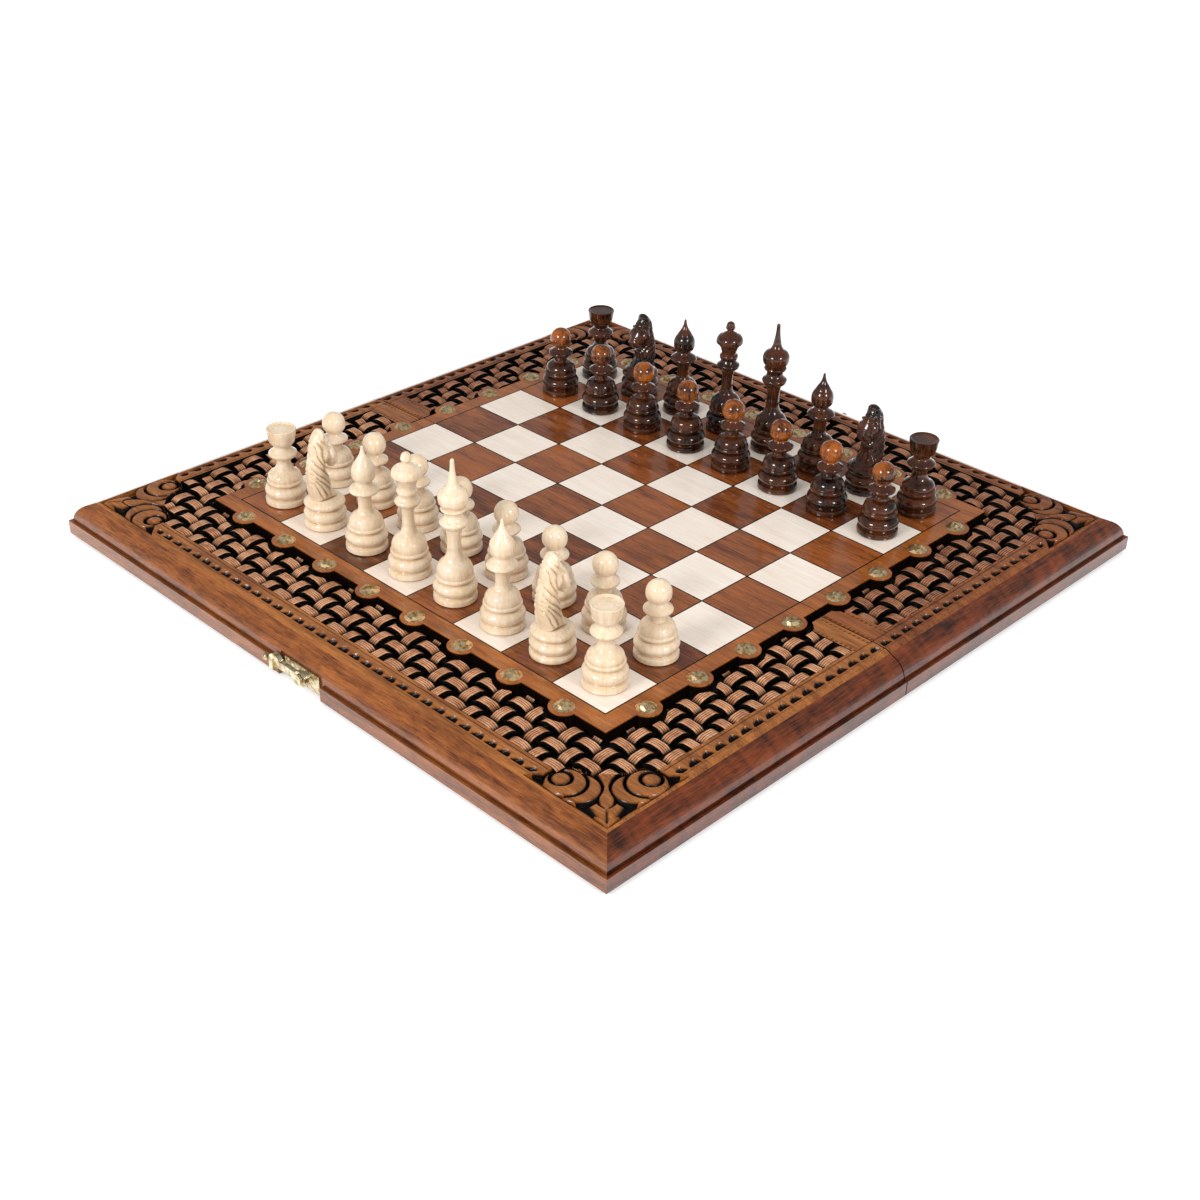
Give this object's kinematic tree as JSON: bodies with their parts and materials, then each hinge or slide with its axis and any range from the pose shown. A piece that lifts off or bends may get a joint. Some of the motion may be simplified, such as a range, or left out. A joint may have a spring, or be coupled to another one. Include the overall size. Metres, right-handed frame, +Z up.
{
  "type": "folding chess and backgammon board",
  "caption": "Folding wooden chess and backgammon board with a carved woven border, brass studs, butt hinges and a hook latch, opened flat with the chess men set out.",
  "frame": {"origin": "centre of the opened board, on the table it rests on", "axes": "+X along the files from a to h, +Y from white's side to the dark side, +Z up"},
  "size_m": [0.5, 0.5106, 0.1231],
  "materials": {
    "walnut_case": "lacquered walnut, glossy",
    "walnut_tray": "lacquered walnut, satin",
    "point_inlay": "light and dark wood inlay, satin",
    "maple_veneer": "lacquered maple, satin",
    "walnut_veneer": "lacquered walnut, satin",
    "brass": "polished brass",
    "felt": "green felt",
    "boxwood": "lacquered boxwood, glossy",
    "stained_wood": "dark stained and lacquered wood, glossy"
  },
  "bodies": {
    "white_half": {"white_half_base_board": "walnut_tray", "white_half_carved_border": "walnut_case", "white_half_dark_squares": "walnut_veneer", "white_half_felt_pads": "felt", "white_half_field_board": "walnut_case", "white_half_hinge_leaves": "brass", "white_half_light_squares": "maple_veneer", "white_half_outer_rail": "walnut_case", "white_half_points": "point_inlay", "white_half_seam_rail": "walnut_case", "white_half_side_rails": "walnut_case", "white_half_studs": "brass", "hinge_pins": "brass", "latch_pivot_plate": "brass"},
    "dark_half": {"dark_half_base_board": "walnut_tray", "dark_half_carved_border": "walnut_case", "dark_half_dark_squares": "walnut_veneer", "dark_half_felt_pads": "felt", "dark_half_field_board": "walnut_case", "dark_half_hinge_leaves": "brass", "dark_half_light_squares": "maple_veneer", "dark_half_outer_rail": "walnut_case", "dark_half_points": "point_inlay", "dark_half_seam_rail": "walnut_case", "dark_half_side_rails": "walnut_case", "dark_half_studs": "brass", "latch_catch_plate": "brass"},
    "latch_hook": {"latch_hook": "brass"},
    "dark_bishop_c": {"dark_bishop_c": "stained_wood"},
    "dark_bishop_f": {"dark_bishop_f": "stained_wood"},
    "dark_king": {"dark_king": "stained_wood"},
    "dark_knight_b": {"dark_knight_b": "stained_wood"},
    "dark_knight_g": {"dark_knight_g": "stained_wood"},
    "dark_pawn_a": {"dark_pawn_a": "stained_wood"},
    "dark_pawn_b": {"dark_pawn_b": "stained_wood"},
    "dark_pawn_c": {"dark_pawn_c": "stained_wood"},
    "dark_pawn_d": {"dark_pawn_d": "stained_wood"},
    "dark_pawn_e": {"dark_pawn_e": "stained_wood"},
    "dark_pawn_f": {"dark_pawn_f": "stained_wood"},
    "dark_pawn_g": {"dark_pawn_g": "stained_wood"},
    "dark_pawn_h": {"dark_pawn_h": "stained_wood"},
    "dark_queen": {"dark_queen": "stained_wood"},
    "dark_rook_a": {"dark_rook_a": "stained_wood"},
    "dark_rook_h": {"dark_rook_h": "stained_wood"},
    "white_bishop_c": {"white_bishop_c": "boxwood"},
    "white_bishop_f": {"white_bishop_f": "boxwood"},
    "white_king": {"white_king": "boxwood"},
    "white_knight_b": {"white_knight_b": "boxwood"},
    "white_knight_g": {"white_knight_g": "boxwood"},
    "white_pawn_a": {"white_pawn_a": "boxwood"},
    "white_pawn_b": {"white_pawn_b": "boxwood"},
    "white_pawn_c": {"white_pawn_c": "boxwood"},
    "white_pawn_d": {"white_pawn_d": "boxwood"},
    "white_pawn_e": {"white_pawn_e": "boxwood"},
    "white_pawn_f": {"white_pawn_f": "boxwood"},
    "white_pawn_g": {"white_pawn_g": "boxwood"},
    "white_pawn_h": {"white_pawn_h": "boxwood"},
    "white_queen": {"white_queen": "boxwood"},
    "white_rook_a": {"white_rook_a": "boxwood"},
    "white_rook_h": {"white_rook_h": "boxwood"}
  },
  "joints": [
    {"name": "fold", "type": "hinge", "parent": "white_half", "child": "dark_half", "pos_m": [0, 0, 0.0016], "axis": [-1, 0, 0], "range_deg": [0, 179.5]},
    {"name": "hook_swing", "type": "hinge", "parent": "white_half", "child": "latch_hook", "pos_m": [0.006, -0.252, 0.0126], "axis": [0, -1, 0], "range_deg": [0, 90]},
    {"name": "lift_dark_bishop_c", "type": "slide", "parent": "dark_half", "child": "dark_bishop_c", "axis": [0, 0, 1], "range_m": [0, 0.08]},
    {"name": "lift_dark_bishop_f", "type": "slide", "parent": "dark_half", "child": "dark_bishop_f", "axis": [0, 0, 1], "range_m": [0, 0.08]},
    {"name": "lift_dark_king", "type": "slide", "parent": "dark_half", "child": "dark_king", "axis": [0, 0, 1], "range_m": [0, 0.08]},
    {"name": "lift_dark_knight_b", "type": "slide", "parent": "dark_half", "child": "dark_knight_b", "axis": [0, 0, 1], "range_m": [0, 0.08]},
    {"name": "lift_dark_knight_g", "type": "slide", "parent": "dark_half", "child": "dark_knight_g", "axis": [0, 0, 1], "range_m": [0, 0.08]},
    {"name": "lift_dark_pawn_a", "type": "slide", "parent": "dark_half", "child": "dark_pawn_a", "axis": [0, 0, 1], "range_m": [0, 0.08]},
    {"name": "lift_dark_pawn_b", "type": "slide", "parent": "dark_half", "child": "dark_pawn_b", "axis": [0, 0, 1], "range_m": [0, 0.08]},
    {"name": "lift_dark_pawn_c", "type": "slide", "parent": "dark_half", "child": "dark_pawn_c", "axis": [0, 0, 1], "range_m": [0, 0.08]},
    {"name": "lift_dark_pawn_d", "type": "slide", "parent": "dark_half", "child": "dark_pawn_d", "axis": [0, 0, 1], "range_m": [0, 0.08]},
    {"name": "lift_dark_pawn_e", "type": "slide", "parent": "dark_half", "child": "dark_pawn_e", "axis": [0, 0, 1], "range_m": [0, 0.08]},
    {"name": "lift_dark_pawn_f", "type": "slide", "parent": "dark_half", "child": "dark_pawn_f", "axis": [0, 0, 1], "range_m": [0, 0.08]},
    {"name": "lift_dark_pawn_g", "type": "slide", "parent": "dark_half", "child": "dark_pawn_g", "axis": [0, 0, 1], "range_m": [0, 0.08]},
    {"name": "lift_dark_pawn_h", "type": "slide", "parent": "dark_half", "child": "dark_pawn_h", "axis": [0, 0, 1], "range_m": [0, 0.08]},
    {"name": "lift_dark_queen", "type": "slide", "parent": "dark_half", "child": "dark_queen", "axis": [0, 0, 1], "range_m": [0, 0.08]},
    {"name": "lift_dark_rook_a", "type": "slide", "parent": "dark_half", "child": "dark_rook_a", "axis": [0, 0, 1], "range_m": [0, 0.08]},
    {"name": "lift_dark_rook_h", "type": "slide", "parent": "dark_half", "child": "dark_rook_h", "axis": [0, 0, 1], "range_m": [0, 0.08]},
    {"name": "lift_white_bishop_c", "type": "slide", "parent": "white_half", "child": "white_bishop_c", "axis": [0, 0, 1], "range_m": [0, 0.08]},
    {"name": "lift_white_bishop_f", "type": "slide", "parent": "white_half", "child": "white_bishop_f", "axis": [0, 0, 1], "range_m": [0, 0.08]},
    {"name": "lift_white_king", "type": "slide", "parent": "white_half", "child": "white_king", "axis": [0, 0, 1], "range_m": [0, 0.08]},
    {"name": "lift_white_knight_b", "type": "slide", "parent": "white_half", "child": "white_knight_b", "axis": [0, 0, 1], "range_m": [0, 0.08]},
    {"name": "lift_white_knight_g", "type": "slide", "parent": "white_half", "child": "white_knight_g", "axis": [0, 0, 1], "range_m": [0, 0.08]},
    {"name": "lift_white_pawn_a", "type": "slide", "parent": "white_half", "child": "white_pawn_a", "axis": [0, 0, 1], "range_m": [0, 0.08]},
    {"name": "lift_white_pawn_b", "type": "slide", "parent": "white_half", "child": "white_pawn_b", "axis": [0, 0, 1], "range_m": [0, 0.08]},
    {"name": "lift_white_pawn_c", "type": "slide", "parent": "white_half", "child": "white_pawn_c", "axis": [0, 0, 1], "range_m": [0, 0.08]},
    {"name": "lift_white_pawn_d", "type": "slide", "parent": "white_half", "child": "white_pawn_d", "axis": [0, 0, 1], "range_m": [0, 0.08]},
    {"name": "lift_white_pawn_e", "type": "slide", "parent": "white_half", "child": "white_pawn_e", "axis": [0, 0, 1], "range_m": [0, 0.08]},
    {"name": "lift_white_pawn_f", "type": "slide", "parent": "white_half", "child": "white_pawn_f", "axis": [0, 0, 1], "range_m": [0, 0.08]},
    {"name": "lift_white_pawn_g", "type": "slide", "parent": "white_half", "child": "white_pawn_g", "axis": [0, 0, 1], "range_m": [0, 0.08]},
    {"name": "lift_white_pawn_h", "type": "slide", "parent": "white_half", "child": "white_pawn_h", "axis": [0, 0, 1], "range_m": [0, 0.08]},
    {"name": "lift_white_queen", "type": "slide", "parent": "white_half", "child": "white_queen", "axis": [0, 0, 1], "range_m": [0, 0.08]},
    {"name": "lift_white_rook_a", "type": "slide", "parent": "white_half", "child": "white_rook_a", "axis": [0, 0, 1], "range_m": [0, 0.08]},
    {"name": "lift_white_rook_h", "type": "slide", "parent": "white_half", "child": "white_rook_h", "axis": [0, 0, 1], "range_m": [0, 0.08]}
  ]
}
